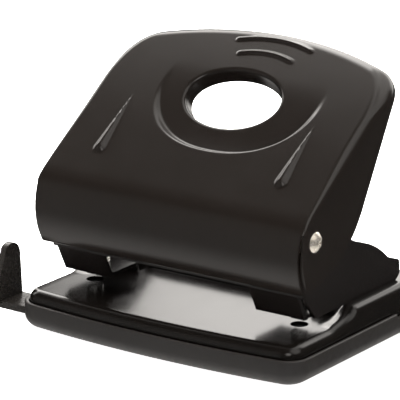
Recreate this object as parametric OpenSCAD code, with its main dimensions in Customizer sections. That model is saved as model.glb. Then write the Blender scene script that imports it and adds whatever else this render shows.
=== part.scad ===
// Two-hole office punch: pressed steel lever over a sheet frame, sprung punch pins,
// pressed base on a plastic chip tray, sliding paper guide. Millimetres, +Z up.
// The origin is the middle of the underside. X runs along the two holes, +Y is the rear.

/* [Tray] */
// How far the tray stands out beyond the lever on each side
tray_margin = 2.7; // [2.4:0.1:5]
// Outside depth of the chip tray, at its middle
tray_d = 85.6; // [84:0.2:100]
// Height of the tray wall
tray_h = 8.8; // [8:0.2:9.4]
// Thickness of the tray wall
tray_wall = 1.4; // [1:0.1:2]
// Thickness of the tray floor
tray_floor = 1.5; // [1:0.1:2]
// Plan radius of the tray corners
corner_r = 8; // [7:0.5:12]
// How far the middle of the front edge stands ahead of its corners
front_bow = 2.7; // [1.5:0.1:4]
// Radius of the bottom edge of the tray
tray_edge_r = 4.7; // [3:0.1:5]

/* [Base] */
// Thickness of the base sheet
base_t = 1.2; // [1:0.1:1.6]
// Height of the front table above the underside
table_h = 12.6; // [12:0.2:15]
// Height of the raised rear part above the table, which stops the paper
step_h = 4.3; // [3.5:0.1:6]
// Distance from the punch line back to the paper stop
stop_y = 14.5; // [12:0.5:18]
// Radius of the upper edges of the base
base_edge_r = 3; // [2:0.1:3.2]
// Distance from the front edge of the tray back to the punch line
punch_setback = 27; // [26:0.2:30]

/* [Punches] */
// Distance between the two punched holes
hole_pitch = 80; // [78:0.5:81]
// Diameter of a punch pin
pin_d = 5.5; // [5:0.1:6]
// Height of the pin's cutting end above the table
tip_gap = 1.9; // [1.5:0.1:2.5]
// Diameter of the pin's head
head_d = 9; // [8:0.5:10]
// Thickness of the pin's head
head_t = 2; // [1.5:0.1:2.5]
// Thickness of the retaining clip on the pin
clip_t = 0.8; // [0.6:0.1:1]
// Outside diameter of the retaining clip
clip_d = 9.6; // [9:0.2:10.4]
// Height of the clip above the cutting end
clip_rise = 17.2; // [16.5:0.1:17.4]
// Thickness of the spring washer
washer_t = 0.8; // [0.5:0.1:1]
// Mean diameter of the punch spring
spring_d = 9.2; // [8.4:0.1:9.8]
// Wire diameter of the punch spring
wire_d = 0.9; // [0.7:0.1:1.1]
// Number of turns in the punch spring
turns = 6; // [5:1:7]
// Thickness of the die plate under the table
die_t = 2; // [1.5:0.1:2.5]
// Side of the square die plate
die_w = 9.4; // [8.6:0.1:9.8]

/* [Frame] */
// Thickness of the frame sheet
frame_t = 1.3; // [1:0.1:1.4]
// Distance from a punched hole out to the face of the frame's side wall
frame_side = 8.15; // [7.6:0.05:8.15]
// Length of the frame behind the punch line
frame_back = 46.4; // [42:0.2:48]
// Space for the paper between the table and the frame's front tabs
paper_gap = 4.6; // [4.4:0.1:5]
// Distance from a punched hole to the inner end of its front tab
tab_reach = 11.6; // [10:0.2:14]
// Distance of the tab's foot ahead of the punch line
tab_foot = 7.2; // [6.4:0.1:8]
// Distance of the frame's front wall ahead of the punch line
wall_front = 11.6; // [11:0.1:11.8]
// Height where the tab bends into the front wall
tab_top_z = 25.8; // [25:0.1:26.4]
// Height of the top of the upper shelf
shelf_z = 35.6; // [35:0.1:36.2]
// Depth of the upper shelf behind the punch line
shelf_back = 8; // [7:0.5:10]
// Width of each frame foot
foot_w = 11; // [9:0.5:13]
// Diameter of the four foot rivets
foot_rivet_d = 4; // [3:0.2:4.6]

/* [Lever] */
// Space between the frame's side wall and the lever's cheek
cheek_space = 2.45; // [2.45:0.05:4]
// Thickness of the lever sheet
lever_t = 1.2; // [1:0.1:1.4]
// Distance of the pivot ahead of the punch line
pivot_ahead = 9.4; // [9:0.1:10]
// Height of the pivot
pivot_z = 44; // [43.5:0.1:45]
// Slope of the lever's panel at rest
panel_slope = 37; // [35:0.5:39]
// Distance of the panel above the pivot
panel_rise = 8.3; // [8:0.1:9]
// Length of the panel from its front corner to its rear edge
panel_len = 76.3; // [72:0.5:80]
// Crowning radius of the rear half of the panel
crown_r = 400; // [300:10:600]
// Distance along the panel where the crowning starts
crown_from = 25; // [20:1:30]
// Bow radius of the panel's rear edge
rear_bow_r = 124; // [110:1:150]
// Plan radius of the panel's rear corners
rear_corner_r = 12; // [9:0.5:15]
// Depth of the rolled edge
roll_r = 5; // [4:0.5:5]
// Radius of the curved front flap
flap_r = 23; // [22.6:0.1:23.6]
// Depth of the front flap's lower edge below the pivot
flap_drop = 17.1; // [16:0.1:17.4]
// Width of the oval hole
oval_w = 36.6; // [32:0.2:38]
// Length of the oval hole, up the panel
oval_l = 24.4; // [20:0.2:26]
// Distance of the oval hole's middle up the panel
oval_at = 44.6; // [43:0.2:46]
// Depth of the collar round the oval hole
collar_h = 5; // [3:0.5:6]
// Depth of the palm dish at its front wall
dish_depth = 2.2; // [1.6:0.1:2.8]
// Distance of the palm dish's front wall up the panel
dish_from = 21.6; // [20:0.2:24]
// Half width of the palm dish
dish_half_w = 31; // [28:0.5:33]
// Height of the pressed ribs and beads
bead_h = 0.6; // [0.4:0.1:0.9]
// How far the lever swings down
lever_swing = 30; // [28:1:30]

/* [Pivot] */
// Diameter of the pivot rivets
pivot_d = 5; // [4:0.2:5.6]
// Diameter of a pivot rivet's head
pivot_head_d = 6.6; // [6.4:0.1:8]
// Height of a pivot rivet's head
pivot_head_h = 1.5; // [1:0.1:1.8]
// Outside diameter of the spacer between frame and lever
spacer_d = 9; // [8:0.5:10]

/* [Press channel] */
// Thickness of the press channel's sheet
channel_t = 1.6; // [1.2:0.1:2]
// Radius of the press channel's lower nose
nose_r = 2; // [1.6:0.1:2.2]
// Space between an end of the press channel and the frame's side wall
channel_space = 0.9; // [0.6:0.1:2]

/* [Paper guide] */
// Width of the guide bar
bar_w = 12; // [10:0.5:12]
// Thickness of the guide bar
bar_t = 2.4; // [1.8:0.1:2.6]
// Height of the underside of the guide bar
bar_z = 3.2; // [3:0.1:3.4]
// Distance of the guide bar's middle ahead of the punch line
bar_ahead = 13.2; // [12.4:0.1:13.2]
// Distance of the stop's face from the side of the tray
stop_out = 9.5; // [8:0.5:18]
// Distance of the guide bar's inner end from the tray's far side
bar_short = 13.3; // [12.5:0.1:20]
// Thickness of the stop
fin_t = 2.2; // [1.6:0.1:3]
// Height of the stop above the bar
fin_h = 18.4; // [15:0.2:20]
// Length of the stop at its foot
fin_l = 14.4; // [13:0.2:16]
// Wall of the rail on the tray floor
rail_t = 1.4; // [1:0.1:1.4]
// Length of the rail on the tray floor
rail_len = 72; // [50:1:90]

/* [Fits] */
// Clearance round a part that is pressed or riveted in
press_gap = 0.02; // [0.01:0.01:0.03]
// Clearance round a part that turns or slides
run_gap = 0.06; // [0.03:0.01:0.08]
// Space between parts that move past each other
free_gap = 0.3; // [0.25:0.05:0.35]
// Space between the base skirt and the tray wall
tray_gap = 0.4; // [0.3:0.05:0.6]

/* [Hidden] */
eps = 0.01;

// The punch line in the part's frame; the modules are drawn from that line
punch_y = punch_setback - tray_d / 2;
punch_x = hole_pitch / 2;

// Widths, from the punched holes outwards
frame_half = punch_x + frame_side;
frame_w = 2 * frame_half;
tab_in = punch_x - tab_reach;
tab_out = frame_half - frame_t - free_gap;
lever_half = frame_half + cheek_space + lever_t;
lever_w = 2 * lever_half;
channel_len = 2 * (frame_half - frame_t - channel_space);
tray_half = lever_half + tray_margin;
tray_w = 2 * tray_half;
stop_x = tray_half + stop_out;

// Plan of tray and base
tray_rear = tray_d - punch_setback;
front_r = bow_radius(tray_half - corner_r, front_bow);
base_inset = tray_wall + tray_gap;
tray_in_r = tray_edge_r - tray_wall;
skirt_z = tray_floor + tray_in_r * (1 - sqrt(1 - pow(1 - tray_gap / tray_in_r, 2))) + free_gap;
raised_h = table_h + step_h;
underside_z = table_h - base_t;

// Punch pins, from the cutting end up
tip_z = table_h + tip_gap;
flange_z = table_h + paper_gap;
flange_top = flange_z + frame_t;
clip_z = tip_z + clip_rise;
washer_z = clip_z - washer_t;
groove_d = pin_d - 1;

// Press geometry: the nose swings level with the pivot at half stroke
pivot_y = -pivot_ahead;
nose_y = pivot_y + pivot_ahead * cos(lever_swing / 2);
nose_z = pivot_z + pivot_ahead * sin(lever_swing / 2);
contact_gap = 0.15;
head_top = nose_z - nose_r - contact_gap;

// Panel frame: x across, s up the slope, n out of the panel, from the front corner
fold_ahead = 1.5;
fold_y = pivot_y - fold_ahead * cos(panel_slope) - panel_rise * sin(panel_slope);
fold_z = pivot_z - fold_ahead * sin(panel_slope) + panel_rise * cos(panel_slope);
side_roll = 0.6;
front_s = -26;
skirt_n = -8;
dish_tilt = 0.6;
dish_end = panel_len - 2.5;
dish_wall = 2.2;
web_rise = 3 * channel_t;
flange_len = 3.8;

// Front flap and lever cheeks, from the pivot
flap_y = pivot_y + 14.9;
flap_z = pivot_z - 4.7;
flap_low_z = pivot_z - flap_drop;
cheek_arc_c = [pivot_y - 7.5, pivot_z + 24.1];
cheek_arc_r = 40;
cheek_low_z = cheek_arc_c.y - cheek_arc_r * sin(84.9);

// Ribs and beads on the panel
rib_x = dish_half_w + 4;
rib_from = 15.5;
rib_to = 38.3;
rib_r = 2.4;

// Paper guide
bar_top = bar_z + bar_t;
bar_step = bar_t / 2;
bar_left = -stop_x - fin_t - free_gap * 2;
bar_len = tray_half - bar_short - bar_left;
slide_gap = 0.15;
rail_x = corner_r - tray_half;
rail_top = bar_top + slide_gap + 1.2;
leaf_t = 0.4;
leaf_foot = bar_w * 2 / 3;
leaf_reach = rail_len * 0.285;
leaf_w = bar_w * 5 / 12;

// Bow radius of an edge whose middle stands out by sag over a half chord
function bow_radius(half, sag) = (half * half + sag * sag) / (2 * sag);
function arc(c, r, a0, a1, n) = [for (i = [0:n]) let (a = a0 + (a1 - a0) * i / n) c + r * [cos(a), sin(a)]];
function mirrored(pts) = [for (i = [len(pts) - 1:-1:0]) [-pts[i].x, pts[i].y]];

// Right half of an outline whose far edge is bowed: up the side, round the corner, to the middle
function half_outline(half, near, far, bow_r, corner, ns, nc, nb) =
    let (a = asin((half - corner) / (bow_r - corner)),
         yc = far - bow_r + sqrt(pow(bow_r - corner, 2) - pow(half - corner, 2)))
    concat([for (i = [0:ns - 1]) [half, near + (yc - near) * i / ns]],
           arc([half - corner, yc], corner, 0, 90 - a, nc),
           [for (i = [1:nb]) let (t = a * (1 - i / nb)) [bow_r * sin(t), far - bow_r + bow_r * cos(t)]]);

module at_punch_line() {
    translate([0, punch_y, 0]) children();
}

// Extrudes a (y, z) drawing from x0 to x1
module across(x0, x1) {
    translate([x0, 0, 0]) rotate([90, 0, 90]) linear_extrude(x1 - x0) children();
}

module on_panel() {
    translate([0, fold_y, fold_z]) rotate([panel_slope, 0, 0]) children();
}

module on_both_sides() {
    children();
    mirror([1, 0, 0]) children();
}

// Rear corners of the plan, from the right side round to the left side
function rear_corners(inset) =
    let (r = corner_r - inset, x = tray_half - corner_r, y = tray_rear - corner_r)
    concat(arc([x, y], r, 0, 90, 6), arc([-x, y], r, 90, 180, 6));

// Plan of tray and base, from the punch line, moved in by inset
module plan(inset) {
    whole = half_outline(tray_half - inset, 0, punch_setback - inset, front_r - inset, corner_r - inset, 1, 6, 10);
    right = [for (i = [1:len(whole) - 1]) [whole[i].x, -whole[i].y]];
    left = mirrored([for (i = [0:len(right) - 2]) right[i]]);
    rear = rear_corners(inset);
    polygon(concat(right, left, [for (i = [len(rear) - 1:-1:0]) rear[i]]));
}

// Plan of the raised rear part
module rear_plan(inset, front) {
    polygon(concat([[tray_half - inset, front]], rear_corners(inset), [[inset - tray_half, front]]));
}

// Solid over the plan with a rounded top edge
module rounded_top(z0, z1, r, inset) {
    hull() {
        translate([0, 0, z0]) linear_extrude(1) plan(inset);
        for (a = [0:22.5:90])
            translate([0, 0, z1 - r + r * sin(a) - 0.1]) linear_extrude(0.1) plan(inset + r * (1 - cos(a)));
    }
}

// The same over the raised rear part only
module rounded_rear(z0, z1, r, inset, front) {
    hull() {
        translate([0, 0, z0]) linear_extrude(1) rear_plan(inset, front);
        for (a = [0:22.5:90]) {
            e = r * (1 - cos(a));
            translate([0, 0, z1 - r + r * sin(a) - 0.1]) linear_extrude(0.1) rear_plan(inset + e, front + e);
        }
    }
}

// Tub over the plan with a rounded bottom edge
module rounded_bottom(z0, z1, r, inset) {
    hull() {
        for (a = [0:18:90])
            translate([0, 0, z0 + r * (1 - cos(a))]) linear_extrude(0.1) plan(inset + r * (1 - sin(a)));
        translate([0, 0, z1 - 1]) linear_extrude(1) plan(inset);
    }
}

module chip_tray() {
    color([0.13, 0.13, 0.14]) at_punch_line() difference() {
        rounded_bottom(0, tray_h, tray_edge_r, 0);
        rounded_bottom(tray_floor, tray_h + 1, tray_in_r, tray_wall);
        // window for the guide bar
        translate([-tray_w, -bar_ahead - bar_w / 2 - free_gap, bar_z - free_gap])
            cube([tray_half + 4, bar_w + 2 * free_gap, bar_t + 2 * free_gap]);
        // finger notches at the rear of the rim
        on_both_sides() translate([tray_half - tray_wall - 1, tray_rear - corner_r - 15.1, tray_h - 1.6])
            cube([tray_wall + 2, 12, 3]);
    }
}

module base_plate() {
    color([0.04, 0.04, 0.045]) at_punch_line() difference() {
        union() {
            rounded_top(skirt_z, table_h, base_edge_r, base_inset);
            rounded_rear(table_h - base_edge_r, raised_h, base_edge_r, base_inset, stop_y);
        }
        rounded_top(skirt_z - 1, underside_z, base_edge_r - base_t, base_inset + base_t);
        rounded_rear(table_h - base_edge_r - 0.5, raised_h - base_t, base_edge_r - base_t,
                     base_inset + base_t, stop_y + base_t);
        // punched holes
        on_both_sides() translate([punch_x, 0, underside_z - 1])
            cylinder(d = pin_d + 4 * run_gap, h = base_t + 2, $fn = 48);
        // slot for the guide bar in the left skirt
        translate([-tray_w, -bar_ahead - bar_w / 2 - free_gap, skirt_z - 1])
            cube([tray_half + 4, bar_w + 2 * free_gap, bar_top + free_gap - skirt_z + 1]);
        foot_rivet_places() cylinder(d = foot_rivet_d + 2 * press_gap, h = 40, center = true, $fn = 32);
    }
}

module die_plate(side) {
    color([0.62, 0.63, 0.65]) at_punch_line() translate([side * punch_x, 0, underside_z - die_t - press_gap])
        difference() {
            translate([-die_w / 2, -die_w / 2, 0]) cube([die_w, die_w, die_t]);
            translate([0, 0, -1]) cylinder(d = pin_d + 2 * run_gap, h = die_t + 2, $fn = 48);
        }
}

// Side wall of the frame, as a (y, z) drawing
module wall_drawing() {
    boss_r = flap_r - lever_t - norm([flap_y - pivot_y, flap_z - pivot_z]) - 1.3 * free_gap;
    difference() {
        union() {
            translate([pivot_y, pivot_z]) circle(boss_r, $fn = 64);
            polygon(concat(
                [[-wall_front, tab_top_z + 2], [-wall_front, pivot_z - boss_r],
                 [pivot_y - boss_r, pivot_z], [pivot_y + boss_r * sin(20), pivot_z + boss_r * cos(20)],
                 [frame_back - 27, 36.4]],
                arc([frame_back - 35, raised_h - 21.6], 41.4, 71, 48, 8),
                [[frame_back - 0.7, 23.6], [frame_back, 22.4], [frame_back, raised_h + 2],
                 [frame_back - 1.2, raised_h + 0.8], [frame_back - 2.4, raised_h],
                 [-tab_foot + 4, raised_h]]));
        }
        translate([pivot_y, pivot_z]) circle(d = pivot_d + 2 * press_gap, $fn = 64);
    }
}

module foot_rivet_places() {
    for (y = [stop_y + foot_w * 0.82, frame_back - foot_w * 0.73])
        on_both_sides() translate([frame_w / 2 - foot_w / 2 - 0.8, y, 0]) children();
}

module frame() {
    half = frame_w / 2;
    slant = atan2(tab_top_z - flange_z, wall_front - tab_foot);
    color([0.06, 0.06, 0.065]) at_punch_line() difference() {
        union() {
            on_both_sides() {
                across(half - frame_t, half) wall_drawing();
                // tab, leaning back to its foot
                across(tab_in, tab_out) polygon([
                    [-tab_foot, flange_z], [-wall_front, tab_top_z],
                    [-wall_front + frame_t, tab_top_z + 0.6],
                    [-tab_foot + frame_t * sin(slant), flange_z + frame_t]]);
                // lower shelf that guides the pin
                translate([tab_in, -tab_foot, flange_z])
                    cube([tab_out - tab_in, tab_foot + shelf_back - 1.2, frame_t]);
                translate([half - foot_w, stop_y + 3, raised_h])
                    cube([foot_w, frame_back - stop_y - 5.4, frame_t]);
            }
            translate([-half, -wall_front, tab_top_z])
                cube([2 * half, frame_t, shelf_z - tab_top_z]);
            translate([-half, -wall_front, shelf_z - frame_t])
                cube([2 * half, wall_front + shelf_back, frame_t]);
        }
        on_both_sides() translate([punch_x, 0, flange_z - 1])
            cylinder(d = pin_d + 2 * run_gap, h = shelf_z - flange_z + 2, $fn = 48);
        foot_rivet_places() cylinder(d = foot_rivet_d + 2 * press_gap, h = 60, center = true, $fn = 32);
    }
}

module frame_rivets() {
    head_w = foot_rivet_d * 1.8;
    tail_w = foot_rivet_d * 1.5;
    grip = frame_t + base_t;
    color([0.72, 0.72, 0.74]) at_punch_line() foot_rivet_places() translate([0, 0, raised_h - base_t]) {
        translate([0, 0, -press_gap]) cylinder(d = foot_rivet_d, h = grip + 2 * press_gap, $fn = 32);
        translate([0, 0, grip + press_gap]) rivet_head(head_w, foot_rivet_d * 0.4);
        translate([0, 0, -foot_rivet_d * 0.3 - press_gap]) cylinder(d = tail_w, h = foot_rivet_d * 0.3, $fn = 32);
    }
}

// Domed head standing on z = 0
module rivet_head(d, h) {
    r = (d * d / 4 + h * h) / (2 * h);
    rotate_extrude($fn = 48) intersection() {
        translate([0, h - r]) circle(r, $fn = 128);
        square([d, h]);
    }
}

// Rivet through lever cheek, spacer and frame wall, head outside
module pivot_rivet(side) {
    out = lever_half + run_gap;
    inner = frame_w / 2 - frame_t;
    color([0.78, 0.76, 0.72]) at_punch_line() translate([0, pivot_y, pivot_z]) mirror([side < 0 ? 1 : 0, 0, 0])
        rotate([0, 90, 0]) difference() {
            union() {
                translate([0, 0, inner]) cylinder(d = pivot_d, h = out - inner, $fn = 48);
                translate([0, 0, inner - 1.2]) cylinder(d = pivot_d + 2, h = 1.2, $fn = 48);
                translate([0, 0, out]) rivet_head(pivot_head_d, pivot_head_h);
            }
            translate([0, 0, out + pivot_head_h - 0.5]) cylinder(d1 = 0.6, d2 = 2, h = 0.6, $fn = 32);
        }
}

module pivot_spacer(side) {
    from = frame_w / 2 + press_gap;
    to = lever_half - lever_t - free_gap;
    color([0.85, 0.84, 0.8]) at_punch_line() translate([0, pivot_y, pivot_z]) mirror([side < 0 ? 1 : 0, 0, 0])
        rotate([0, 90, 0]) translate([0, 0, from]) difference() {
            cylinder(d = spacer_d, h = to - from, $fn = 48);
            translate([0, 0, -1]) cylinder(d = pivot_d + 2 * press_gap, h = to - from + 2, $fn = 48);
        }
}

// Fall of the crowned panel below its plane
function crown(s) = s <= crown_from ? 0 : -pow(s - crown_from, 2) / (2 * crown_r);

// One ring of the pressed shell, moved in by the sheet and by the edge roll at angle a
function shell_ring(sheet, a) =
    let (r = roll_r - sheet, e = r * (1 - cos(a)),
         right = half_outline(lever_half - sheet - side_roll * e, front_s, panel_len - sheet - e,
                              rear_bow_r - sheet - e, max(1, rear_corner_r - sheet - e), 8, 6, 8),
         flat = concat(right, mirrored([for (i = [0:len(right) - 2]) right[i]])))
    [for (p = flat) [p.x, p.y, crown(p.y) - sheet - r * (1 - sin(a))]];

// Solid inside the pressed shell's outer face (sheet = 0) or inner face (sheet = thickness)
module shell_solid(sheet) {
    angles = [0, 0, 22.5, 45, 67.5, 90];
    rings = [for (a = angles) shell_ring(sheet, a)];
    pts = [for (i = [0:len(rings) - 1]) for (p = rings[i]) i == 0 ? [p.x, p.y, -40] : p];
    m = len(rings[0]);
    top = (len(angles) - 1) * m;
    faces = concat(
        [[for (j = [0:m - 1]) j]],
        [for (k = [0:len(angles) - 2]) for (j = [0:m - 1]) let (a = k * m + j, b = k * m + (j + 1) % m)
            each [[a, a + m, b], [b, a + m, b + m]]],
        [for (j = [0:(m - 1) / 2 - 2])
            [top + j, top + m - 1 - j, top + m - 2 - j, top + j + 1]],
        [[top + (m - 1) / 2 - 1, top + (m - 1) / 2 + 1, top + (m - 1) / 2]]);
    on_panel() hull() polyhedron(pts, faces);
}

// Outline of lever cheeks and rear roll, as a (y, z) drawing
module cheek_drawing() {
    back = [cos(panel_slope), sin(panel_slope)];
    out = [-sin(panel_slope), cos(panel_slope)];
    fold = [fold_y, fold_z];
    inner_r = flap_r - lever_t;
    top_a = 152;
    low_a = 180 + asin((flap_z - cheek_low_z) / inner_r);
    polygon(concat(
        [fold + 100 * back + 20 * out, fold + 100 * back + skirt_n * out,
         fold + 58.6 * back + skirt_n * out],
        arc(cheek_arc_c, cheek_arc_r, -30.8, -84, 14),
        arc([flap_y, flap_z], inner_r, low_a, top_a, 16),
        [fold + 20 * out]));
}

// Plan of the palm dish in the panel frame, moved in by inset
module dish_plan(inset) {
    mid = 48;
    half = dish_half_w - inset;
    depth = mid - dish_from - inset;
    polygon(concat(
        [for (i = [0:24]) let (a = 180 + 180 * i / 24) [half * cos(a), mid + depth * sin(a)]],
        [[half, dish_end], [-half, dish_end]]));
}

module dish_solid(drop, grow) {
    hull() {
        translate([0, 0, 0.8]) linear_extrude(eps) dish_plan(-grow);
        translate([0, dish_from, -dish_depth - drop]) rotate([-dish_tilt, 0, 0])
            translate([0, -dish_from, 0]) linear_extrude(eps) dish_plan(dish_wall - grow);
    }
}

module oval(grow) {
    polygon([for (i = [0:47]) let (a = 7.5 * i) [(oval_w / 2 + grow) * cos(a), (oval_l / 2 + grow) * sin(a)]]);
}

// Pressed bead along an arc of the dish floor
module bead(s, bow, span, w) {
    r = (span * span + bow * bow) / (2 * bow);
    a = asin(span / r);
    translate([0, s, dish_floor(s) - 0.3]) rotate([-dish_tilt, 0, 0]) linear_extrude(0.3 + bead_h)
        translate([0, -r]) union() {
            polygon(concat(arc([0, 0], r + w / 2, 90 - a, 90 + a, 12), arc([0, 0], r - w / 2, 90 + a, 90 - a, 12)));
            for (t = [90 - a, 90 + a]) translate(r * [cos(t), sin(t)]) circle(w / 2, $fn = 24);
        }
}
function dish_floor(s) = -dish_depth - (s - dish_from) * tan(dish_tilt);

module rib() {
    translate([rib_x, rib_from, -0.3]) linear_extrude(0.3 + bead_h) union() {
        circle(rib_r, $fn = 32);
        polygon([[rib_r * cos(6), rib_r * sin(6)], [0, rib_to - rib_from], [-rib_r * cos(6), rib_r * sin(6)]]);
    }
}

module front_flap() {
    half = lever_half - lever_t - slide_gap;
    low_a = 180 + asin((flap_z - flap_low_z) / flap_r);
    across(-half, half) intersection() {
        difference() {
            translate([flap_y, flap_z]) circle(flap_r, $fn = 180);
            translate([flap_y, flap_z]) circle(flap_r - lever_t, $fn = 180);
        }
        polygon([[flap_y, flap_z], [flap_y, flap_z] + 40 * [cos(low_a), sin(low_a)],
                 [flap_y - 60, flap_z], [fold_y - 20 * cos(panel_slope), fold_z - 20 * sin(panel_slope)],
                 [fold_y + 4 * cos(panel_slope), fold_z + 4 * sin(panel_slope)]]);
    }
}

module lever() {
    color([0.1, 0.095, 0.09]) at_punch_line() difference() {
        union() {
            difference() {
                union() {
                    intersection() {
                        difference() {
                            shell_solid(0);
                            shell_solid(lever_t);
                        }
                        across(-60, 60) cheek_drawing();
                    }
                    intersection() {
                        shell_solid(0);
                        on_panel() dish_solid(lever_t, lever_t);
                    }
                }
                on_panel() dish_solid(0, 0);
            }
            front_flap();
            on_panel() {
                on_both_sides() rib();
                bead(71, 2.6, 15.2, 2.2);
                bead(64.6, 2, 11, 2.2);
                translate([0, oval_at, dish_floor(oval_at) - collar_h])
                    linear_extrude(collar_h - 0.4) oval(lever_t);
            }
        }
        on_panel() translate([0, oval_at, -20]) linear_extrude(30) oval(0);
        translate([0, pivot_y, pivot_z]) rotate([0, 90, 0])
            cylinder(d = pivot_d + 2 * run_gap, h = 2 * lever_w, center = true, $fn = 64);
    }
}

// A point of the (y, z) plane as (s, n) on the panel
function to_panel(y, z) = let (c = cos(panel_slope), s = sin(panel_slope))
    [(y - fold_y) * c + (z - fold_z) * s, -(y - fold_y) * s + (z - fold_z) * c];

// Bent section of the press channel on the panel, as an (s, n) drawing
module channel_drawing() {
    nose = to_panel(nose_y, nose_z);
    top = -lever_t - press_gap;
    low = top - channel_t;
    thin = channel_t / 2;
    translate(nose) circle(nose_r, $fn = 64);
    ahead = nose.x - web_rise;
    behind = nose.x + web_rise;
    polygon([[ahead - flange_len, top], [ahead - flange_len, low], [ahead - 1.1 * channel_t, low],
             nose + [-nose_r * 0.9, -nose_r * 0.4], nose + [nose_r * 0.9, -nose_r * 0.4],
             [behind + channel_t, low], [behind + flange_len, low], [behind + flange_len, top], [behind, top],
             nose + [thin * 0.4, nose_r], nose + [-thin * 0.4, nose_r], [ahead, top]]);
}

module press_channel() {
    color([0.5, 0.5, 0.52]) at_punch_line() on_panel() rotate([90, 0, 90])
        translate([0, 0, -channel_len / 2]) linear_extrude(channel_len) channel_drawing();
}

module punch_pin(side) {
    hollow_half = pin_d / 2 - 0.3;
    hollow_r = (pow(hollow_half, 2) + 0.49) / 1.4;
    color([0.75, 0.76, 0.78]) at_punch_line() translate([side * punch_x, 0, 0]) difference() {
        union() {
            translate([0, 0, tip_z]) cylinder(d = pin_d, h = head_top - head_t - tip_z, $fn = 64);
            translate([0, 0, head_top - head_t]) cylinder(d = head_d, h = head_t, $fn = 64);
        }
        // hollow cutting end
        translate([0, 0, tip_z + 0.7 - hollow_r]) rotate([90, 0, 0])
            cylinder(r = hollow_r, h = 2 * pin_d, center = true, $fn = 96);
        // groove for the retaining clip
        translate([0, 0, clip_z - press_gap]) difference() {
            cylinder(d = 2 * pin_d, h = clip_t + 2 * press_gap, $fn = 64);
            translate([0, 0, -1]) cylinder(d = groove_d, h = clip_t + 2, $fn = 64);
        }
    }
}

module retaining_clip(side) {
    color([0.55, 0.56, 0.58]) at_punch_line() translate([side * punch_x, 0, clip_z]) difference() {
        cylinder(d = clip_d, h = clip_t, $fn = 48);
        translate([0, 0, -1]) cylinder(d = groove_d + 2 * press_gap, h = clip_t + 2, $fn = 64);
        translate([-groove_d * 0.4, -clip_d, -1]) cube([groove_d * 0.8, clip_d, clip_t + 2]);
        for (a = [35, 145]) rotate([0, 0, a]) translate([groove_d / 2 + 0.9, 0, -1])
            cylinder(d = 1.2, h = clip_t + 2, $fn = 24);
    }
}

module spring_washer(side) {
    color([0.68, 0.69, 0.7]) at_punch_line() translate([side * punch_x, 0, washer_z]) difference() {
        cylinder(d = spring_d + wire_d + 0.5, h = washer_t - press_gap, $fn = 64);
        translate([0, 0, -1]) cylinder(d = pin_d + 2 * run_gap, h = washer_t + 2, $fn = 64);
    }
}

// Compression spring with closed end turns
module punch_spring(side) {
    seg = 20;
    sides = 8;
    n = turns * seg;
    low = flange_top + press_gap + wire_d / 2;
    high = washer_z - press_gap - wire_d / 2;
    closed = wire_d + 0.08;
    function rise(t) = t < 1 ? closed * t : t > turns - 1 ? high - low - closed * (turns - t)
        : closed + (high - low - 2 * closed) * (t - 1) / (turns - 2);
    pts = [for (i = [0:n]) for (j = [0:sides - 1])
        let (a = 360 * i / seg, b = 360 * j / sides, r = spring_d / 2 + wire_d / 2 * cos(b))
            [r * cos(a), r * sin(a), low + rise(i / seg) + wire_d / 2 * sin(b)]];
    faces = concat(
        [[for (j = [0:sides - 1]) j]], [[for (j = [sides - 1:-1:0]) n * sides + j]],
        [for (i = [0:n - 1]) for (j = [0:sides - 1])
            let (a = i * sides + j, b = i * sides + (j + 1) % sides) each [[a, a + sides, b], [b, a + sides, b + sides]]]);
    color([0.7, 0.71, 0.73]) at_punch_line() translate([side * punch_x, 0, 0]) polyhedron(pts, faces);
}

// Channel with inward lips, standing on the tray floor
module guide_rail() {
    in = bar_w / 2 + slide_gap;
    out = in + rail_t;
    lip = rail_t + 0.2;
    color([0.16, 0.16, 0.17]) at_punch_line() across(rail_x, rail_x + rail_len) translate([-bar_ahead, 0])
        difference() {
            polygon([[-in, tray_floor], [in, tray_floor], [out, tray_floor + 0.6], [out, rail_top],
                     [-out, rail_top], [-out, tray_floor + 0.6]]);
            translate([-in, bar_z - slide_gap]) square([2 * in, bar_t + 2 * slide_gap]);
            translate([lip - in, bar_z]) square([2 * (in - lip), rail_top]);
        }
}

// Leaf spring that presses on the notches of the guide bar
module guide_detent_spring() {
    low = bar_top + press_gap * 5;
    high = rail_top + press_gap;
    t = leaf_t;
    x = rail_x + leaf_foot;
    nib = rail_x + leaf_reach;
    color([0.72, 0.73, 0.75]) at_punch_line() {
        translate([rail_x + t, -bar_ahead - leaf_w, high]) cube([leaf_foot - t, 2 * leaf_w, t]);
        translate([0, -bar_ahead + leaf_w / 2, 0]) rotate([90, 0, 0]) linear_extrude(leaf_w)
            polygon([[x - t, high], [x + leaf_w, high], [nib - 1.5 * t, low], [nib + 1.5 * t, low],
                     [nib + 10 * t, low + 3 * t], [nib + 10 * t, low + 4 * t], [nib + t, low + t],
                     [nib - t, low + t], [x + leaf_w + t / 2, high + t], [x - t, high + t]]);
    }
}

module paper_guide() {
    color([0.15, 0.15, 0.16]) at_punch_line() {
        difference() {
            translate([bar_left, -bar_ahead - bar_w / 2, bar_z]) cube([bar_len, bar_w, bar_t]);
            // notches for the paper sizes
            for (k = [0:7]) translate([rail_x + leaf_reach + 8 * k, -bar_ahead, bar_top + 0.5]) rotate([90, 45, 0])
                cube([1.4, 1.4, leaf_w + 4 * free_gap], center = true);
        }
        // upright stop
        across(-stop_x - fin_t, -stop_x) fin_drawing();
    }
}

// Upright stop seen from the side, as a (y, z) drawing
module fin_drawing() {
    y1 = -bar_ahead + bar_w / 2 - 0.6;
    y0 = y1 - fin_l;
    top = bar_top + fin_h;
    polygon(concat([[y1, bar_top - 0.8], [y1 - 0.9, top - 4.6]],
        arc([y1 - 5.4, top - 4.4], 4.4, 2, 130, 12),
        [[y0 + 2.4, top - 10.6], [y0, bar_top], [y0, bar_top - 0.8]]));
}

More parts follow.
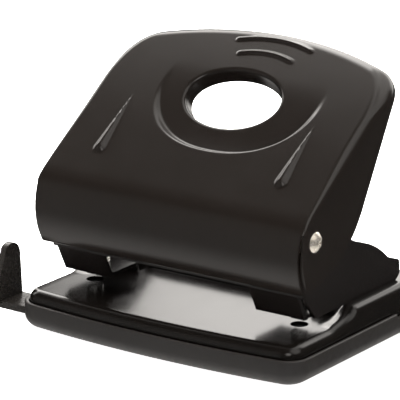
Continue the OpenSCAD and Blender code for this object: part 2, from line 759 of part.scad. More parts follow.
chip_tray();
base_plate();
die_plate(-1);  // die_plate_left
die_plate(1);  // die_plate_right
frame();
frame_rivets();
pivot_rivet(-1);  // pivot_rivet_left
pivot_rivet(1);  // pivot_rivet_right
pivot_spacer(-1);  // pivot_spacer_left
pivot_spacer(1);  // pivot_spacer_right
lever();
press_channel();
punch_pin(-1);  // punch_pin_left
punch_pin(1);  // punch_pin_right
retaining_clip(-1);  // retaining_clip_left
retaining_clip(1);  // retaining_clip_right
spring_washer(-1);  // spring_washer_left
spring_washer(1);  // spring_washer_right
punch_spring(-1);  // punch_spring_left
punch_spring(1);  // punch_spring_right
guide_rail();
guide_detent_spring();
paper_guide();
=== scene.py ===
from math import asin, atan2, cos, hypot, pi, radians, sin, sqrt

import bmesh
import bpy
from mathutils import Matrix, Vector
from mathutils.geometry import tessellate_polygon


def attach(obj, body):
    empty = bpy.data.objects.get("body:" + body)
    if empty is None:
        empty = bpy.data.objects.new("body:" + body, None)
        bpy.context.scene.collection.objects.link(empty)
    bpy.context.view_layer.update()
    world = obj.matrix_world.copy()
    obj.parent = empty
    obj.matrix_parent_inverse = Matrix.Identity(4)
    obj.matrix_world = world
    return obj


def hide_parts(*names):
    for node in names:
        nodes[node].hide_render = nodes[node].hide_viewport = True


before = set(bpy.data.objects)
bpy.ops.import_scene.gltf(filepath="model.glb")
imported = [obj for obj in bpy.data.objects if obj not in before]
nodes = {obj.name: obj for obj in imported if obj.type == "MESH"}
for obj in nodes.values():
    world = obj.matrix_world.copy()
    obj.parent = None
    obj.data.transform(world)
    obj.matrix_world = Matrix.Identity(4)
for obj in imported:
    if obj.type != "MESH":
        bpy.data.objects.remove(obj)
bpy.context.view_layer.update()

# Everything below is drawn in millimetres from the punch line, which lies this far from the middle.
PUNCH_Y = -15.8
# Distance of each pin from the middle, and the thickness of the pressed sheets.
PUNCH_X, SHEET = 40, 1.2


def metres(p):
    return Vector((p[0] / 1000, (p[1] + PUNCH_Y) / 1000, p[2] / 1000))


def smooth(t):
    t = min(1.0, max(0.0, t))
    return t * t * (3 - 2 * t)


def lerp(a, b, t):
    return a + (b - a) * t


def quarter(n):
    """Angles of a quarter turn in n steps."""
    return [pi / 2 * k / n for k in range(n + 1)]


def circle(u, v, r, n):
    """Points of a circle, in n steps."""
    return [(u + r * cos(2 * pi * k / n), v + r * sin(2 * pi * k / n)) for k in range(n)]


def rectangle(u0, u1, v0, v1):
    return [(u0, v0), (u1, v0), (u1, v1), (u0, v1)]


class Skin:
    """Points and faces of one piece, woven row by row."""

    def __init__(self):
        self.points = []
        self.faces = []

    def row(self, pts):
        first = len(self.points)
        self.points.extend(pts)
        return list(range(first, first + len(pts)))

    def weave(self, rows, closed=False):
        for a, b in zip(rows, rows[1:]):
            n = len(a)
            for i in range(n if closed else n - 1):
                j = (i + 1) % n
                quad = [a[i], a[j], b[j], b[i]]
                face = [v for k, v in enumerate(quad) if v not in quad[:k]]
                if len(face) > 2:
                    self.faces.append(face)

    def build(self, name):
        mesh = bpy.data.meshes.new(name)
        mesh.from_pydata([metres(p) for p in self.points], [], self.faces)
        mesh.validate()
        bm = bmesh.new()
        bm.from_mesh(mesh)
        bmesh.ops.remove_doubles(bm, verts=bm.verts, dist=1e-6)
        bmesh.ops.recalc_face_normals(bm, faces=bm.faces)
        bm.to_mesh(mesh)
        bm.free()
        obj = bpy.data.objects.new(name, mesh)
        bpy.context.scene.collection.objects.link(obj)
        return obj


def settle(obj):
    """Applies the modifiers of a piece to its mesh."""
    dg = bpy.context.evaluated_depsgraph_get()
    mesh = bpy.data.meshes.new_from_object(obj.evaluated_get(dg))
    obj.modifiers.clear()
    old = obj.data
    obj.data = mesh
    bpy.data.meshes.remove(old)


def solidify(obj, even=True):
    """Gives the outer face of a sheet its thickness, inwards."""
    m = obj.modifiers.new("sheet", "SOLIDIFY")
    m.thickness = SHEET / 1000
    m.offset = -1
    m.use_even_offset = even
    m.use_rim = True
    settle(obj)


def cut(obj, *cutters):
    for c in cutters:
        m = obj.modifiers.new("cut", "BOOLEAN")
        m.operation = "DIFFERENCE"
        m.solver = "EXACT"
        m.object = c
    settle(obj)
    for c in cutters:
        bpy.data.objects.remove(c)


def prism(outline, place):
    """Cutter: a closed outline swept between the two places that place(u, v, end) gives."""
    s = Skin()
    ends = [s.row([place(u, v, end) for u, v in outline]) for end in (0, 1)]
    s.weave(ends, closed=True)
    s.faces.append(ends[0][::-1])
    s.faces.append(ends[1])
    return s.build("cutter")


def shade(obj, angle):
    mesh = obj.data
    mesh.shade_smooth()
    mesh.set_sharp_from_angle(angle=radians(angle))


def soften(obj, width):
    """Small radius on the edges, with normals that keep the flats flat."""
    m = obj.modifiers.new("edge radius", "BEVEL")
    m.width = width / 1000
    m.segments = 2
    m.limit_method = "ANGLE"
    m.angle_limit = radians(35)
    w = obj.modifiers.new("flats", "WEIGHTED_NORMAL")
    w.weight = 80


# ---------------------------------------------------------------- materials

def new_material(name):
    mat = bpy.data.materials.new(name)
    mat.use_nodes = True
    nt = mat.node_tree
    nt.nodes.clear()
    out = nt.nodes.new("ShaderNodeOutputMaterial")
    bsdf = nt.nodes.new("ShaderNodeBsdfPrincipled")
    nt.links.new(bsdf.outputs[0], out.inputs[0])
    coord = nt.nodes.new("ShaderNodeTexCoord")
    return mat, nt, bsdf, coord.outputs["Object"]


def map_range(nt, value, from_min, from_max, to_min, to_max):
    m = nt.nodes.new("ShaderNodeMapRange")
    for socket, v in (("From Min", from_min), ("From Max", from_max), ("To Min", to_min), ("To Max", to_max)):
        m.inputs[socket].default_value = v
    nt.links.new(value, m.inputs["Value"])
    return m


def noise(nt, vec, scale, detail=2.0, rough=0.5, stretch=None):
    if stretch:
        m = nt.nodes.new("ShaderNodeMapping")
        m.inputs["Scale"].default_value = stretch
        nt.links.new(vec, m.inputs[0])
        vec = m.outputs[0]
    n = nt.nodes.new("ShaderNodeTexNoise")
    n.inputs["Scale"].default_value = scale
    n.inputs["Detail"].default_value = detail
    n.inputs["Roughness"].default_value = rough
    nt.links.new(vec, n.inputs["Vector"])
    return n.outputs["Fac"]


def spread(nt, value, low, high, a=0.35, b=0.65):
    """A noise value spread over low to high."""
    return map_range(nt, value, a, b, low, high).outputs[0]


def two_tone(nt, value, dark, light, a=0.35, b=0.65):
    """A noise value as a colour between two tones."""
    r = nt.nodes.new("ShaderNodeValToRGB")
    for stop, position, tone in zip(r.color_ramp.elements, (a, b), (dark, light)):
        stop.position = position
        stop.color = (*tone, 1)
    nt.links.new(value, r.inputs[0])
    return r.outputs[0]


def bump(nt, bsdf, height, distance):
    """Relief of a noise value, distance mm high."""
    b = nt.nodes.new("ShaderNodeBump")
    b.inputs["Distance"].default_value = distance / 1000
    b.inputs["Strength"].default_value = 1.0
    nt.links.new(height, b.inputs["Height"])
    nt.links.new(b.outputs[0], bsdf.inputs["Normal"])


def enamel(name, dark, light, rough, peel, peel_depth):
    """Sprayed or dipped paint: cloudy tone, uneven gloss and orange peel."""
    mat, nt, bsdf, vec = new_material(name)
    nt.links.new(two_tone(nt, noise(nt, vec, 22, 2), dark, light, 0.25, 0.75), bsdf.inputs["Base Color"])
    nt.links.new(spread(nt, noise(nt, vec, 120, 3, 0.6), rough - 0.02, rough + 0.03, 0.2, 0.8),
                 bsdf.inputs["Roughness"])
    bump(nt, bsdf, noise(nt, vec, peel, 2, 0.4), peel_depth)
    return mat


def plastic(name, dark, light, rough, grain, depth):
    """Moulded plastic with the fine spark-eroded grain of its mould."""
    mat, nt, bsdf, vec = new_material(name)
    nt.links.new(two_tone(nt, noise(nt, vec, 60, 3), dark, light), bsdf.inputs["Base Color"])
    nt.links.new(spread(nt, noise(nt, vec, 500, 3), rough - 0.05, rough + 0.06), bsdf.inputs["Roughness"])
    bump(nt, bsdf, noise(nt, vec, grain, 3, 0.6), depth)
    return mat


def metal(name, tone, rough, brushed=None, share=1.0):
    """Bare or plated metal: tone varies a little, with fine tool marks along the brushed axis."""
    mat, nt, bsdf, vec = new_material(name)
    dark = tuple(0.82 * c for c in tone)
    nt.links.new(two_tone(nt, noise(nt, vec, 300, 4), dark, tone), bsdf.inputs["Base Color"])
    nt.links.new(spread(nt, noise(nt, vec, 700, 3, 0.6, brushed), rough - 0.06, rough + 0.08),
                 bsdf.inputs["Roughness"])
    bsdf.inputs["Metallic"].default_value = share
    bump(nt, bsdf, noise(nt, vec, 900, 3, 0.6, brushed), 0.004)
    return mat


LEVER = enamel("lever paint", (0.0048, 0.0036, 0.0029), (0.0055, 0.0042, 0.0034), 0.21, 420, 0.0015)
BASE = enamel("base enamel", (0.0022, 0.0017, 0.0014), (0.0028, 0.0022, 0.0018), 0.17, 300, 0.001)
FRAME = enamel("frame paint", (0.0035, 0.0027, 0.0024), (0.0045, 0.0035, 0.0031), 0.24, 520, 0.003)
TRAY = plastic("tray plastic", (0.0092, 0.0080, 0.0073), (0.0110, 0.0096, 0.0088), 0.40, 1600, 0.008)
GUIDE = plastic("guide plastic", (0.0085, 0.0072, 0.0062), (0.0105, 0.009, 0.0078), 0.27, 1500, 0.006)
NICKEL = metal("rivet nickel", (0.74, 0.68, 0.59), 0.25, share=0.88)
PIN = metal("pin steel", (0.50, 0.50, 0.49), 0.22, (1, 1, 14))
SPRING = metal("spring wire", (0.52, 0.51, 0.48), 0.24, (1, 1, 4))
CLIP = metal("clip steel", (0.35, 0.35, 0.35), 0.34)
DIE = metal("die steel", (0.30, 0.30, 0.30), 0.32, (12, 1, 1))
CHANNEL = metal("channel steel", (0.34, 0.34, 0.33), 0.38, (1, 10, 1))
LEAF = metal("leaf steel", (0.52, 0.52, 0.50), 0.26, (10, 1, 1))
SPACER = plastic("spacer plastic", (0.50, 0.48, 0.43), (0.56, 0.54, 0.49), 0.45, 1500, 0.006)


def dress(obj, mat):
    obj.data.materials.clear()
    obj.data.materials.append(mat)


# ---------------------------------------------------------------- plan of tray and base

HALF, FRONT, REAR, CORNER, FRONT_BOW = 54.5, 27.0, 58.6, 8.0, 2.7
FRONT_R = ((HALF - CORNER) ** 2 + FRONT_BOW ** 2) / (2 * FRONT_BOW)
# Points along the bowed front and round a corner, and the y stations of the sides, closest at the step.
BOW_STEPS, CORNER_STEPS = 26, 12
SIDES = [-16 + 2 * i for i in range(14)] + [12 + 0.4 * i for i in range(20)] + [20 + 3 * i for i in range(10)]


def half_plan(inset):
    """Right half of the plan, from the front apex round to the middle of the rear edge."""
    r, c, far = FRONT_R - inset, CORNER - inset, FRONT - inset
    x = HALF - CORNER
    a = asin(x / (FRONT_R - CORNER))
    yc = far - r + sqrt((FRONT_R - CORNER) ** 2 - x * x)
    pts = []
    for i in range(BOW_STEPS):
        t = a * i / BOW_STEPS
        pts.append((r * sin(t), -(far - r + r * cos(t))))
    for i in range(CORNER_STEPS):
        t = a + (pi / 2 - a) * i / CORNER_STEPS
        pts.append((x + c * sin(t), -(yc + c * cos(t))))
    pts += [(HALF - inset, y) for y in SIDES]
    pts += [(x + c * cos(t), REAR - CORNER + c * sin(t)) for t in quarter(CORNER_STEPS)]
    pts.append((0.0, REAR - inset))
    return pts


def ring(inset):
    right = half_plan(inset)
    return right + [(-x, y) for x, y in right[-2:0:-1]]


# ---------------------------------------------------------------- base

# Heights of the table and of the raised part behind it, the edge radius, and the foot inside the tray.
TABLE, RAISED, EDGE = 12.6, 16.9, 3.2
FOOT_INSET, FOOT_Z = 1.8, 3.55
# The step: where it stands, how wide it is, and how far the part between the pins is set back.
STOP_Y, STEP_LEAD, STEP_WIDE = 14.5, 0.6, 1.6
BAY_HALF, BAY_DEEP = 33.0, 6.0
# At the rims the table rises in a long soft curve: share of the rise at each y.
RIM_X, RIM_WIDE = 43.5, 4
SIDE_RISE = ((2, 0), (3.9, 0.1), (8.1, 0.27), (11.3, 0.48), (12.8, 0.74), (14.4, 0.98), (15.2, 1))
COLUMNS = (0, 16, 32, 33, 33.5, 34, 34.5, 35, 36, 38, 43.5, 44.5, 45.5, 46.5, 47.5, 60)
PUNCH_HOLE_R = 2.87
# Front and rear face of the paper guide's channel.
GUIDE_Y = (-19.5, -6.9)


def table_height(x, y):
    """The raised part: soft at the rims, a step beside the pins, set back between them."""
    rim = 0.0
    for (y0, h0), (y1, h1) in zip(SIDE_RISE, SIDE_RISE[1:]):
        if y >= y1:
            rim = h1
        elif y > y0:
            rim = lerp(h0, h1, (y - y0) / (y1 - y0))
    step = smooth((y - STOP_Y + STEP_LEAD) / STEP_WIDE)
    bay = smooth((y - STOP_Y - BAY_DEEP + STEP_LEAD) / STEP_WIDE)
    inner = lerp(bay, step, smooth((abs(x) - BAY_HALF) / STEP_WIDE))
    return lerp(TABLE, RAISED, lerp(inner, rim, smooth((abs(x) - RIM_X) / RIM_WIDE)))


def build_base():
    s = Skin()
    rows = [s.row([(x, y, FOOT_Z) for x, y in ring(FOOT_INSET)])]
    for a in quarter(10):
        inset = FOOT_INSET + EDGE * (1 - cos(a))
        rows.append(s.row([(x, y, table_height(x, y) - EDGE + EDGE * sin(a)) for x, y in ring(inset)]))
    s.weave(rows, closed=True)
    lines = []
    for x_end, y in half_plan(FOOT_INSET + EDGE):
        xs = [-min(c, x_end) for c in COLUMNS[:0:-1]] + [min(c, x_end) for c in COLUMNS]
        lines.append(s.row([(x, y, table_height(x, y)) for x in xs]))
    s.weave(lines)
    obj = s.build("base_skin")
    solidify(obj)
    # The two punch holes, and the guide's slot in the left rim.
    holes = [prism(circle(sx * PUNCH_X, 0, PUNCH_HOLE_R, 48), lambda u, v, end: (u, v, 10 + 6 * end))
             for sx in (-1, 1)]
    slot = prism(rectangle(-60, -44, *GUIDE_Y), lambda u, v, end: (u, v, 1 + 4.9 * end))
    cut(obj, *holes, slot)
    shade(obj, 40)
    dress(obj, BASE)
    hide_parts("base_plate")
    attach(obj, "base")


# ---------------------------------------------------------------- tray

TRAY_RIM, TRAY_WALL, TRAY_FLOOR, TRAY_EDGE, TRAY_LIP = 8.8, 1.4, 1.5, 4.7, 0.45


def tray_profile():
    """(inset, z) points from the underside up the wall, over the lip and down to the floor inside."""
    rim, lip = TRAY_RIM - TRAY_LIP, TRAY_LIP
    inner = TRAY_EDGE - TRAY_WALL
    pts = [(TRAY_EDGE * (1 - sin(a)), TRAY_EDGE * (1 - cos(a))) for a in quarter(9)]
    pts += [(lip * (1 - cos(a)), rim + lip * sin(a)) for a in quarter(4)]
    pts += [(TRAY_WALL - lip + lip * sin(a), rim + lip * cos(a)) for a in quarter(4)]
    pts += [(TRAY_WALL + inner * (1 - cos(a)), TRAY_FLOOR + inner * (1 - sin(a))) for a in quarter(8)]
    return pts


def build_tray():
    s = Skin()
    rows = [s.row([(x, y, z) for x, y in ring(inset)]) for inset, z in tray_profile()]
    s.weave(rows, closed=True)
    s.faces.append(rows[0][::-1])
    s.faces.append(rows[-1])
    obj = s.build("tray_skin")
    # The guide's way out on the left, and a finger notch in each side wall.
    window = prism(rectangle(*GUIDE_Y, 2.9, 5.9), lambda u, v, end: (-62 + 14 * end, u, v))
    notches = [prism([(35.5, 7.2), (47.5, 7.2), (47.9, 9.6), (35.1, 9.6)],
                     lambda u, v, end, sx=sx: (sx * (52 + 5 * end), u, v)) for sx in (-1, 1)]
    cut(obj, window, *notches)
    shade(obj, 40)
    dress(obj, TRAY)
    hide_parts("chip_tray")
    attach(obj, "tray")


# ---------------------------------------------------------------- lever

# The panel's plane: its slope, and its crease line before the soft fold.
SLOPE = radians(37)
CS, SS = cos(SLOPE), sin(SLOPE)
FOLD_Y, FOLD_Z = -15.593, 49.731
# Half width, length up the slope, and the size of the rolled edge; the roll takes less off the sides.
WIDE, LONG, ROLL, SIDE_ROLL = 51.8, 76.3, 5.0, 0.6
# Width and depth of the side roll at the fold and above it, its depth at the slit, and where it grows.
ROLL_WIDE, ROLL_DEEP, ROLL_SLIT, ROLL_FROM, ROLL_OVER = (1.25, 3.0), (2.5, ROLL), 1.2, 2, 34
# Radius of the rear edge, and the rear corners (across, up the slope) at the foot of the roll and above it.
BOW_R, FOOT_CORNER, TOP_CORNER, CORNER_BLEND = 124.0, (11.5, 14.5), (14.0, 26.0), 0.4
# The flap: half width, and the (y, z) arc that it follows down to its lower edge.
FLAP_HALF, FLAP_R, FLAP_C, FLAP_LOW = 50.45, 23.0, (5.5, 39.3), 28.0
# The curl under the flap's lower edge: steps, turn of each in degrees, and its length.
CURL_STEPS, CURL_TURN, CURL_STEP = 6, 9, 0.26
# Oval hole: half axes, and its middle up the slope.
OVAL_X, OVAL_S, OVAL_AT, OVAL_RIM = 17.6, 11.4, 44.5, 1.4
# How far the skirt reaches below the panel's plane, and where it starts up the slope.
SKIRT, SKIRT_S = -8.0, 58.6
# The soft fold starts at FOLD_S, joins the flap's arc at FOLD_END degrees, and is slit below SLIT_TOP.
FOLD_S, FOLD_END, SLIT_TOP, FOLD_PULL = 6.5, 166, 158, (0.46, 0.40)
# The cheek's lower edge: centre, radius and angles of its arc, then the flap's inner arc from CHEEK_LOW up.
CHEEK_C, CHEEK_R, CHEEK_ARC, CHEEK_LOW = (-16.9, 68.1), 40, (-30.8, -84.2), 28.26
PIVOT, PIVOT_HOLE_R = (-9.4, 44), 2.56
# Steps along the slope, round a corner and along half the rear edge, then across the front, from the hole
# to the edge, round the roll and down the skirt.
SLOPE_STEPS, ROUND_STEPS, REAR_STEPS = 112, 40, 80
FRONT_STEPS, PANEL_STEPS, ROLL_STEPS, SKIRT_STEPS = 190, 104, 12, 3


def on_flap(r, a):
    return FLAP_C[0] + r * cos(a), FLAP_C[1] + r * sin(a)


def flap_angle(r, z):
    """Angle at which the flap's arc of radius r is at height z."""
    return pi + asin((FLAP_C[1] - z) / r)


def fold_curve():
    """(y, z) points from the panel round the soft fold, then down the flap's arc to its lower edge."""
    p0 = Vector((FOLD_Y + FOLD_S * CS, FOLD_Z + FOLD_S * SS))
    a1 = radians(FOLD_END)
    p3 = Vector(on_flap(FLAP_R, a1))
    t0, t3 = Vector((-CS, -SS)), Vector((-sin(a1), cos(a1)))
    span = (p3 - p0).length
    p1, p2 = p0 + t0 * span * FOLD_PULL[0], p3 - t3 * span * FOLD_PULL[1]
    pts = []
    for i in range(31):
        t = i / 30
        q = (1 - t) ** 3 * p0 + 3 * (1 - t) ** 2 * t * p1 + 3 * (1 - t) * t * t * p2 + t ** 3 * p3
        pts.append((q.x, q.y))
    low = flap_angle(FLAP_R, FLAP_LOW)
    return pts + [on_flap(FLAP_R, lerp(a1, low, i / 36)) for i in range(1, 37)]


FOLD = fold_curve()
RUN = [0.0]
for q0, q1 in zip(FOLD, FOLD[1:]):
    RUN.append(RUN[-1] + hypot(q1[0] - q0[0], q1[1] - q0[1]))
SLIT = min(k for k, q in enumerate(FOLD) if atan2(q[1] - FLAP_C[1], q[0] - FLAP_C[0]) > radians(SLIT_TOP))
SLIT_S = FOLD_S - RUN[SLIT]


def fold_normal(k):
    (ya, za), (yb, zb) = FOLD[max(k - 1, 0)], FOLD[min(k + 1, len(FOLD) - 1)]
    d = hypot(yb - ya, zb - za)
    return (zb - za) / d, -(yb - ya) / d


def panel(x, s, n):
    """A point on the sheet: s up the slope, and below FOLD_S round the fold; n out of the sheet."""
    if s >= FOLD_S:
        return (x, FOLD_Y + s * CS - n * SS, FOLD_Z + s * SS + n * CS)
    way = FOLD_S - s
    i = max(k for k in range(len(RUN) - 1) if RUN[k] <= way)
    t = (way - RUN[i]) / (RUN[i + 1] - RUN[i])
    (y0, z0), (y1, z1) = FOLD[i], FOLD[i + 1]
    (ua, va), (ub, vb) = fold_normal(i), fold_normal(i + 1)
    return (x, lerp(y0, y1, t) + n * lerp(ua, ub, t), lerp(z0, z1, t) + n * lerp(va, vb, t))


# Pressed relief, in (x, s): where the panel starts to fall towards the rear, and how slowly.
CROWN_S, CROWN_SLOW = 25, 800
# The dish: middle, half axes and power of its outline, depth at the front, tilt, width of its wall, fade.
DISH_X, DISH_S, DISH_HALF, DISH_LONG, DISH_POWER = 2.5, 48, 31, 26.4, 2.2
DISH_DEEP, DISH_TILT, DISH_WALL, DISH_FADE = 2.2, 0.0105, 2.3, (25, 56)
# The rear beads: x, s of the crest, bow and half length; then their height and half width.
BEADS = ((3, 71, 2.4, 13.8), (2.6, 64.6, 1.8, 9.8))
BEAD_HIGH, BEAD_HALF = 0.85, 1.4
# The teardrop ribs: place, half width, length and height.
RIB_X, RIB_S, RIB_HALF, RIB_LONG, RIB_HIGH = 35, 15.5, 2.4, 22.8, 1.7


def crown(s):
    return 0.0 if s <= CROWN_S else -(s - CROWN_S) ** 2 / CROWN_SLOW


def dish(x, s):
    """Share of the dish's depth at a point, and its floor below the panel's plane."""
    x -= DISH_X
    if s < DISH_S:
        across, along = abs(x) / DISH_HALF, (DISH_S - s) / DISH_LONG
        f = (across ** DISH_POWER + along ** DISH_POWER) ** (1 / DISH_POWER)
        inside = hypot(x, DISH_S - s) * (1 / f - 1) if f > 1e-6 else DISH_HALF
    else:
        inside = DISH_HALF - abs(x)
    floor = -(DISH_DEEP + DISH_TILT * (s - DISH_S + DISH_LONG))
    a, b = DISH_FADE
    return smooth(inside / DISH_WALL) * (1 - smooth((s - a) / (b - a))), floor


def bead(x, s, centre, bow, span):
    r = (span ** 2 + bow ** 2) / (2 * bow)
    a = asin(span / r)
    ds = s - (centre - r)
    t = max(-a, min(a, atan2(x, ds)))
    d = hypot(x - r * sin(t), ds - r * cos(t))
    return BEAD_HIGH * smooth(1 - d / BEAD_HALF)


def rib(x, s):
    dx, ds = abs(x) - RIB_X, s - RIB_S
    left = 1 - max(0.0, ds) / RIB_LONG
    if left <= 0:
        return 0.0
    d = 1 - (hypot(dx, ds) if ds < 0 else abs(dx)) / (RIB_HALF * left)
    return RIB_HIGH * left ** 0.7 * (1 - (1 - min(1.0, max(0.0, d))) ** 1.5) ** 1.15


def panel_height(x, s):
    h = crown(s)
    share, floor = dish(x, s)
    if share > 0 and floor < h:
        h = h + (floor - h) * share
    return h + sum(bead(x - bx, s, *shape) for bx, *shape in BEADS) + rib(x, s)


def roll_size(s):
    """Width and depth of the rolled side edge, which tightens towards the fold."""
    t = smooth((s - ROLL_FROM) / ROLL_OVER)
    low = smooth((s - SLIT_S) / (FOLD_S - SLIT_S))
    return lerp(*ROLL_WIDE, t), lerp(ROLL_SLIT, lerp(*ROLL_DEEP, t), low)


def lever_outline(e):
    """(x, s, depth of the roll) round the outline moved in by e, from the right slit to the left one; the
    corners are tight at the foot of the roll and wide above."""
    soft = smooth(e / ROLL / CORNER_BLEND)
    cx, cs = (lerp(foot, top, soft) - e for foot, top in zip(FOOT_CORNER, TOP_CORNER))
    bow, side, far = BOW_R - e, WIDE - SIDE_ROLL * e, LONG - e
    end = pi / 2
    for _ in range(12):
        a = asin((side - cx * (1 - cos(end))) / bow)
        end = atan2(cs, cx * sin(a) / cos(a))
    yc = far - bow + bow * cos(a) - cs * sin(end)
    right = []
    for i in range(SLOPE_STEPS):
        s = lerp(SLIT_S, yc, i / SLOPE_STEPS)
        width, depth = roll_size(s)
        right.append((WIDE - width * e / ROLL, s, depth))
    for i in range(ROUND_STEPS):
        t = end * i / ROUND_STEPS
        right.append((side - cx + cx * cos(t), yc + cs * sin(t), ROLL))
    for i in range(REAR_STEPS + 1):
        t = a * (1 - i / REAR_STEPS)
        right.append((bow * sin(t), far - bow + bow * cos(t), ROLL))
    return right + [(-x, s, depth) for x, s, depth in right[-2::-1]]


def flap_profile():
    """(y, z) points of the flap's outer face, from the top of the slits down; the lower edge curls under."""
    pts = FOLD[SLIT + 1:]
    y, z = pts[-1]
    direction = flap_angle(FLAP_R, FLAP_LOW) + pi / 2
    for _ in range(CURL_STEPS):
        direction += radians(CURL_TURN)
        y += CURL_STEP * cos(direction)
        z += CURL_STEP * sin(direction)
        pts.append((y, z))
    return pts


def add_panel(s, top):
    """The panel from the oval hole's collar out to top, the outline above the roll. Gives its edge row."""
    x_corner = top[0][0]
    front = [(lerp(-x_corner, x_corner, i / FRONT_STEPS), SLIT_S) for i in range(1, FRONT_STEPS)]
    loop = [(x, q) for x, q, depth in top] + front
    spokes = []
    for x, q in loop:
        a = atan2((q - OVAL_AT) / OVAL_S, x / OVAL_X)
        spokes.append((cos(a), sin(a)))

    # collar wall and rolled rim of the hole: (growth of the oval, depth)
    rims = [(-0.75, 5.0), (-0.35, 3.4), (0.0, 1.6 + OVAL_RIM * 0.2)]
    rims += [(OVAL_RIM * (1 - cos(a)), OVAL_RIM * (1 - sin(a))) for a in quarter(8)]
    rows = []
    for grow, depth in rims:
        pts = []
        for u, v in spokes:
            x, q = (OVAL_X + grow) * u, OVAL_AT + (OVAL_S + grow) * v
            pts.append(panel(x, q, panel_height(x, q) - depth))
        rows.append(s.row(pts))
    for k in range(1, PANEL_STEPS + 1):
        pts = []
        for (x1, q1), (u, v) in zip(loop, spokes):
            x = lerp((OVAL_X + OVAL_RIM) * u, x1, k / PANEL_STEPS)
            q = lerp(OVAL_AT + (OVAL_S + OVAL_RIM) * v, q1, k / PANEL_STEPS)
            pts.append(panel(x, q, panel_height(x, q)))
        rows.append(s.row(pts))
    s.weave(rows, closed=True)
    return rows[-1]


def add_roll(s, edge):
    """The rolled edge along the sides and the rear, from the panel's edge to the foot of the roll."""
    rows = [edge]
    for k in range(1, ROLL_STEPS + 1):
        a = pi / 2 * (1 - k / ROLL_STEPS)
        rows.append(s.row([panel(x, q, max(crown(q) - depth * (1 - sin(a)), SKIRT))
                           for x, q, depth in lever_outline(ROLL * (1 - cos(a)))]))
    s.weave(rows)
    return rows[-1]


def add_skirt(s, foot, outline, ids):
    """The skirt below the roll, behind the cheeks. Gives its rows below the roll's foot."""
    rows = []
    for k in range(1, SKIRT_STEPS + 1):
        pts = []
        for x, q, depth in (outline[i] for i in ids):
            pts.append(panel(x, q, lerp(max(crown(q) - depth, SKIRT), SKIRT, k / SKIRT_STEPS)))
        rows.append(s.row(pts))
    s.weave([[foot[i] for i in ids]] + rows)
    return rows


def add_cheek(s, side, upper, down, outline):
    """A cheek: flat below the roll's foot and the skirt's end, with its shaped lower edge and pivot hole."""
    def wide_at(y, z):
        """Half width of the lever there, which narrows towards the rounded corner."""
        q = (y - FOLD_Y) * CS + (z - FOLD_Z) * SS
        return outline[min(range(len(outline) // 2), key=lambda i: abs(outline[i][1] - q))][0]

    low = []
    for i in range(41):
        a = radians(lerp(*CHEEK_ARC, i / 40))
        low.append((CHEEK_C[0] + CHEEK_R * cos(a), CHEEK_C[1] + CHEEK_R * sin(a)))
    inner_r = FLAP_R - SHEET
    start = s.points[upper[0]]
    a0, a1 = flap_angle(inner_r, CHEEK_LOW), atan2(start[2] - FLAP_C[1], start[1] - FLAP_C[0])
    low += [on_flap(inner_r, lerp(a0, a1, i / 30)) for i in range(30)]
    border = upper + down + s.row([(side * wide_at(y, z), y, z) for y, z in low])
    hole = s.row([(side * WIDE, y, z) for y, z in circle(*PIVOT, PIVOT_HOLE_R, 32)])
    loops = [[Vector((*s.points[i][1:], 0)) for i in ids] for ids in (border, hole)]
    names = border + hole
    for tri in tessellate_polygon(loops):
        s.faces.append([names[i] for i in tri])


def build_lever():
    s = Skin()
    top, outline = lever_outline(ROLL), lever_outline(0)
    around = len(top)
    edge = add_panel(s, top)
    foot = add_roll(s, edge[:around])
    first = min(i for i, p in enumerate(outline) if p[1] >= SKIRT_S)
    skirt = add_skirt(s, foot, outline, range(first, around - first))
    add_cheek(s, 1, foot[:first + 1], [row[0] for row in skirt], outline)
    add_cheek(s, -1, foot[:around - 2 - first:-1], [row[-1] for row in skirt], outline)

    # front flap, one sheet with the panel
    rows = [edge[around - 1:] + [edge[0]]]
    last = len(rows[0]) - 1
    for y, z in flap_profile():
        rows.append(s.row([(lerp(-FLAP_HALF, FLAP_HALF, i / last), y, z) for i in range(last + 1)]))
    s.weave(rows)

    obj = s.build("lever_skin")
    solidify(obj, even=False)
    shade(obj, 40)
    dress(obj, LEVER)
    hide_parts("lever")
    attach(obj, "lever")


build_lever()
build_base()
build_tray()

# ---------------------------------------------------------------- nodes that keep their CAD shape

# Material and edge radius; a name that isn't a node stands for its left and right node.
FINISHES = {
    "frame": (FRAME, 0.22),
    "frame_rivets": (NICKEL, 0),
    "pivot_rivet": (NICKEL, 0.1),
    "pivot_spacer": (SPACER, 0.15),
    "press_channel": (CHANNEL, 0.2),
    "punch_pin": (PIN, 0.12),
    "retaining_clip": (CLIP, 0.1),
    "spring_washer": (CLIP, 0.1),
    "punch_spring": (SPRING, 0),
    "die_plate": (DIE, 0.12),
    "guide_rail": (TRAY, 0.15),
    "guide_detent_spring": (LEAF, 0.08),
    "paper_guide": (GUIDE, 0.35),
}
for name, (mat, radius) in FINISHES.items():
    for node_name in [name] if name in nodes else [name + "_left", name + "_right"]:
        dress(nodes[node_name], mat)
        if radius:
            soften(nodes[node_name], radius)

# ---------------------------------------------------------------- stage, light and camera

def stage_floor():
    s = Skin()
    reach = (-5000, -1000, 1000, 5000)
    s.weave([s.row([(x, y, 0) for x in reach]) for y in reach])
    obj = s.build("floor")
    shade(obj, 60)
    mat, nt, bsdf, vec = new_material("paper floor")
    nt.links.new(two_tone(nt, noise(nt, vec, 30, 3), (0.90, 0.90, 0.90), (0.93, 0.93, 0.93)),
                 bsdf.inputs["Base Color"])
    bsdf.inputs["Roughness"].default_value = 0.9
    bsdf.inputs["Specular IOR Level"].default_value = 0.1
    bsdf.inputs["Emission Color"].default_value = (1, 1, 1, 1)
    bsdf.inputs["Emission Strength"].default_value = 1.0
    dress(obj, mat)
    obj.visible_glossy = False


stage_floor()


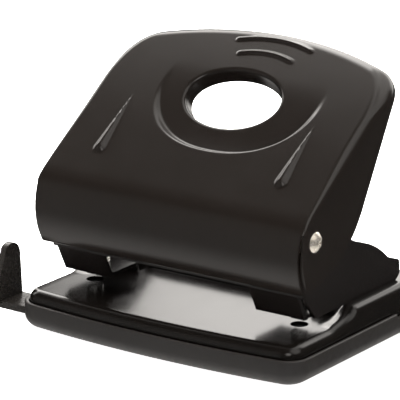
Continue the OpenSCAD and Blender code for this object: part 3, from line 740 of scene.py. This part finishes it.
def softbox(name, place, aim, size, power):
    light = bpy.data.lights.new(name, "AREA")
    light.shape = "RECTANGLE"
    light.size, light.size_y = size[0] / 1000, size[1] / 1000
    light.energy = power
    obj = bpy.data.objects.new(name, light)
    obj.location = metres(place)
    obj.rotation_euler = (metres(aim) - metres(place)).to_track_quat("-Z", "Y").to_euler()
    obj.visible_glossy = False
    bpy.context.scene.collection.objects.link(obj)


softbox("overhead", (-100, 100, 1100), (0, 20, 30), (1500, 1300), 62)
softbox("front left", (-800, -800, 500), (0, 0, 40), (700, 700), 4)
softbox("right", (1000, -100, 450), (0, 0, 40), (600, 800), 4)

# What the glossy paint mirrors: dark above and in front, white low behind, and a few soft screens.
scene = bpy.context.scene
world = bpy.data.worlds.new("studio")
world.use_nodes = True
sky = world.node_tree
way = sky.nodes.new("ShaderNodeTexCoord").outputs["Generated"]
split = sky.nodes.new("ShaderNodeSeparateXYZ")
sky.links.new(way, split.inputs[0])


def fade(value, a, b, low, high):
    """A value that goes softly from low at a to high at b."""
    m = map_range(sky, value, a, b, low, high)
    m.interpolation_type = "SMOOTHSTEP"
    return m.outputs[0]


def combine(operation, a, b):
    m = sky.nodes.new("ShaderNodeMath")
    m.operation = operation
    for k, v in enumerate((a, b)):
        if isinstance(v, (int, float)):
            m.inputs[k].default_value = v
        else:
            sky.links.new(v, m.inputs[k])
    return m.outputs[0]


def screen(direction, edge, core, strength):
    """A soft round screen in one direction; edge and core are cosines."""
    m = sky.nodes.new("ShaderNodeVectorMath")
    m.operation = "DOT_PRODUCT"
    m.inputs[1].default_value = Vector(direction).normalized()
    sky.links.new(way, m.inputs[0])
    return fade(m.outputs["Value"], edge, core, 0.0, strength)


def product(*values):
    total = values[0]
    for v in values[1:]:
        total = combine("MULTIPLY", total, v)
    return total


X, Y, Z = (split.outputs[k] for k in "XYZ")
# White cards behind the object, low and high. The low one fades where the table's left end mirrors it:
# turn is the direction's share across the line from the object to the rear card.
turn = combine("ADD", combine("MULTIPLY", X, 0.819), combine("MULTIPLY", Y, 0.573))
dip = combine("ADD", fade(turn, -0.060, -0.005, 0.0, 1.0), fade(turn, -0.24, -0.13, 1.0, 0.0))
card = product(dip, fade(Y, 0.25, 0.60, 0.0, 3.1), fade(Z, -0.04, 0.08, 0.0, 1.0),
               fade(Z, 0.50, 0.62, 1.0, 0.0), fade(X, 0.15, 0.45, 1.0, 0.0))
high_card = product(fade(Y, -0.12, 0.45, 0.0, 1.5), fade(Z, 0.35, 0.60, 0.0, 1.0),
                    fade(X, 0.20, 0.50, 1.0, 0.0))
SCREENS = (((0.70, 0.05, 0.71), 0.80, 0.98, 1.2),
           ((0.55, -0.74, 0.38), 0.95, 0.99, 2.5),
           ((-0.60, -0.78, 0.0), 0.70, 1.0, 0.22),
           ((-0.55, 0.55, 0.63), 0.955, 0.99, 4.5),
           ((-0.87, 0.25, 0.42), 0.93, 0.99, 3.0))
light = combine("ADD", card, high_card)
for shape in SCREENS:
    light = combine("ADD", light, screen(*shape))
light = combine("ADD", light, fade(Z, -0.30, -0.75, 0.0, 0.85))
sky.links.new(combine("ADD", light, 0.04), sky.nodes["Background"].inputs[1])
sky.nodes["Background"].inputs[0].default_value = (1, 0.965, 0.925, 1)
scene.world = world
scene.view_settings.view_transform = "Standard"
scene.view_settings.look = "None"

CAMERA_AT, LOOK_AT = (594.47, -847.25, 358.12), (1.88, 0, 46.75)
cam = bpy.data.cameras.new("camera")
cam.lens = 306
cam.sensor_width = 36
cam.clip_start = 0.05
cam.clip_end = 20
cam_obj = bpy.data.objects.new("camera", cam)
cam_obj.location = metres(CAMERA_AT)
cam_obj.rotation_euler = (metres(LOOK_AT) - cam_obj.location).to_track_quat("-Z", "Y").to_euler()
scene.collection.objects.link(cam_obj)
scene.camera = cam_obj
